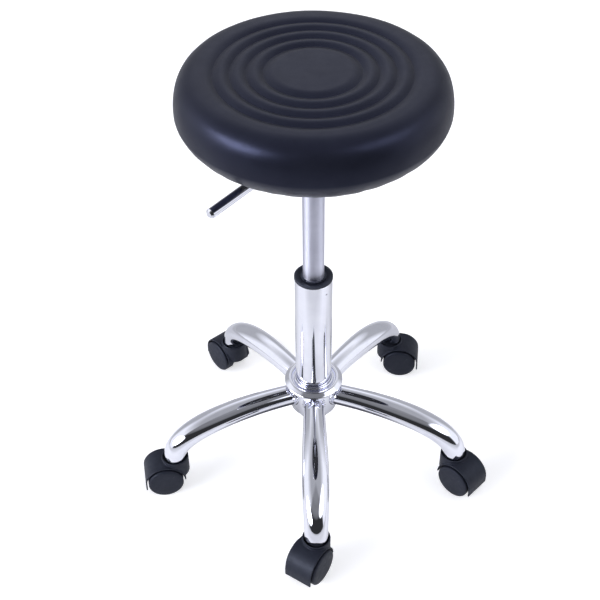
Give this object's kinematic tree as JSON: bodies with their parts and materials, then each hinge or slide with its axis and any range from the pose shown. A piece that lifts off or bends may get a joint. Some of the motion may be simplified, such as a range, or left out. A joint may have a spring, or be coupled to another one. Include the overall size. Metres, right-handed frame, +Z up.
{
  "type": "adjustable swivel stool",
  "caption": "Round padded stool with concentric ribs on a swivelling gas lift, with a height lever, a tubular star base and hooded twin-wheel casters.",
  "frame": {"origin": "on the floor under the column's axis", "axes": "+Z up along the column's axis; -Y towards the front leg, +X to its right seen from the front"},
  "size_m": [0.4928, 0.4749, 0.64],
  "materials": {
    "leather": "satin",
    "foam": "matte",
    "plywood": "matte",
    "felt": "matte",
    "chrome": "polished",
    "silver": "satin",
    "black_steel": "satin",
    "steel": "satin",
    "nylon": "matte",
    "white_nylon": "matte",
    "rubber": "matte"
  },
  "bodies": {
    "base": {"column_tube": "chrome", "column_bush": "nylon", "column_base": "steel", "lower_race": "steel", "hub_tube": "chrome", "hub_cover": "chrome", "stem_sockets": "nylon", "caster_stems": "steel", "grip_rings": "steel", "leg_1": "chrome", "leg_2": "chrome", "leg_3": "chrome", "leg_4": "chrome", "leg_5": "chrome"},
    "rotor": {"piston_rod": "chrome", "piston": "steel", "piston_ring": "rubber", "bump_stop": "rubber", "upper_race": "steel", "rod_washer": "steel", "rod_clip": "steel"},
    "cage": {"ball_cage": "white_nylon", "bearing_balls": "chrome"},
    "seat": {"seat_cover": "leather", "seat_foam": "foam", "seat_board": "plywood", "dust_cover": "felt", "t_nuts": "steel", "seat_plate": "black_steel", "plate_screws": "steel", "plate_socket": "black_steel", "lever_bracket": "black_steel", "lever_pivot_pin": "steel", "pressure_tube": "silver", "valve_body": "steel", "rod_gland": "steel", "rod_seal": "rubber"},
    "lever": {"lever": "chrome"},
    "valve": {"valve_pin": "steel"},
    "caster_1": {"hood_1": "nylon", "axle_1": "steel"},
    "wheel_1_left": {"wheel_1_left": "nylon"},
    "wheel_1_right": {"wheel_1_right": "nylon"},
    "caster_2": {"hood_2": "nylon", "axle_2": "steel"},
    "wheel_2_left": {"wheel_2_left": "nylon"},
    "wheel_2_right": {"wheel_2_right": "nylon"},
    "caster_3": {"hood_3": "nylon", "axle_3": "steel"},
    "wheel_3_left": {"wheel_3_left": "nylon"},
    "wheel_3_right": {"wheel_3_right": "nylon"},
    "caster_4": {"hood_4": "nylon", "axle_4": "steel"},
    "wheel_4_left": {"wheel_4_left": "nylon"},
    "wheel_4_right": {"wheel_4_right": "nylon"},
    "caster_5": {"hood_5": "nylon", "axle_5": "steel"},
    "wheel_5_left": {"wheel_5_left": "nylon"},
    "wheel_5_right": {"wheel_5_right": "nylon"}
  },
  "joints": [
    {"name": "seat_swivel", "type": "hinge", "parent": "base", "child": "rotor", "pos_m": [0, 0, 0.1], "axis": [0, 0, 1], "continuous": true},
    {"name": "cage_turn", "type": "hinge", "parent": "base", "child": "cage", "pos_m": [0, 0, 0.0955], "axis": [0, 0, 1], "continuous": true},
    {"name": "lift", "type": "slide", "parent": "rotor", "child": "seat", "axis": [0, 0, 1], "range_m": [-0.16, 0]},
    {"name": "lever_tilt", "type": "hinge", "parent": "seat", "child": "lever", "pos_m": [-0.01888, -0.02331, 0.5475], "axis": [-0.7771, 0.6293, 0], "range_deg": [0, 4.2], "stiffness_Nm_per_rad": 4, "springref_deg": -4.58},
    {"name": "valve_press", "type": "slide", "parent": "seat", "child": "valve", "axis": [0, 0, -1], "range_m": [0, 0.0023]},
    {"name": "caster_1_swivel", "type": "hinge", "parent": "base", "child": "caster_1", "pos_m": [0, -0.2087, 0.05], "axis": [0, 0, 1], "continuous": true},
    {"name": "wheel_1_left_roll", "type": "hinge", "parent": "caster_1", "child": "wheel_1_left", "pos_m": [-0.00951, -0.22279, 0.025], "axis": [0.829, -0.5592, 0], "continuous": true},
    {"name": "wheel_1_right_roll", "type": "hinge", "parent": "caster_1", "child": "wheel_1_right", "pos_m": [-0.00951, -0.22279, 0.025], "axis": [0.829, -0.5592, 0], "continuous": true},
    {"name": "caster_2_swivel", "type": "hinge", "parent": "base", "child": "caster_2", "pos_m": [0.19848, -0.06449, 0.05], "axis": [0, 0, 1], "continuous": true},
    {"name": "wheel_2_left_roll", "type": "hinge", "parent": "caster_2", "child": "wheel_2_left", "pos_m": [0.21071, -0.0763, 0.025], "axis": [0.6947, 0.7193, 0], "continuous": true},
    {"name": "wheel_2_right_roll", "type": "hinge", "parent": "caster_2", "child": "wheel_2_right", "pos_m": [0.21071, -0.0763, 0.025], "axis": [0.6947, 0.7193, 0], "continuous": true},
    {"name": "caster_3_swivel", "type": "hinge", "parent": "base", "child": "caster_3", "pos_m": [0.12267, 0.16884, 0.05], "axis": [0, 0, 1], "continuous": true},
    {"name": "wheel_3_left_roll", "type": "hinge", "parent": "caster_3", "child": "wheel_3_left", "pos_m": [0.13954, 0.16677, 0.025], "axis": [0.1219, 0.9925, 0], "continuous": true},
    {"name": "wheel_3_right_roll", "type": "hinge", "parent": "caster_3", "child": "wheel_3_right", "pos_m": [0.13954, 0.16677, 0.025], "axis": [0.1219, 0.9925, 0], "continuous": true},
    {"name": "caster_4_swivel", "type": "hinge", "parent": "base", "child": "caster_4", "pos_m": [-0.12267, 0.16884, 0.05], "axis": [0, 0, 1], "continuous": true},
    {"name": "wheel_4_left_roll", "type": "hinge", "parent": "caster_4", "child": "wheel_4_left", "pos_m": [-0.1336, 0.18186, 0.025], "axis": [-0.766, -0.6428, 0], "continuous": true},
    {"name": "wheel_4_right_roll", "type": "hinge", "parent": "caster_4", "child": "wheel_4_right", "pos_m": [-0.1336, 0.18186, 0.025], "axis": [-0.766, -0.6428, 0], "continuous": true},
    {"name": "caster_5_swivel", "type": "hinge", "parent": "base", "child": "caster_5", "pos_m": [-0.19848, -0.06449, 0.05], "axis": [0, 0, 1], "continuous": true},
    {"name": "wheel_5_left_roll", "type": "hinge", "parent": "caster_5", "child": "wheel_5_left", "pos_m": [-0.21523, -0.06744, 0.025], "axis": [0.1736, -0.9848, 0], "continuous": true},
    {"name": "wheel_5_right_roll", "type": "hinge", "parent": "caster_5", "child": "wheel_5_right", "pos_m": [-0.21523, -0.06744, 0.025], "axis": [0.1736, -0.9848, 0], "continuous": true}
  ],
  "couplings": [
    {"joint": "cage_turn", "follows": "seat_swivel", "ratio": 0.5},
    {"joint": "valve_press", "follows": "lever_tilt", "m_per_rad": 0.03}
  ]
}
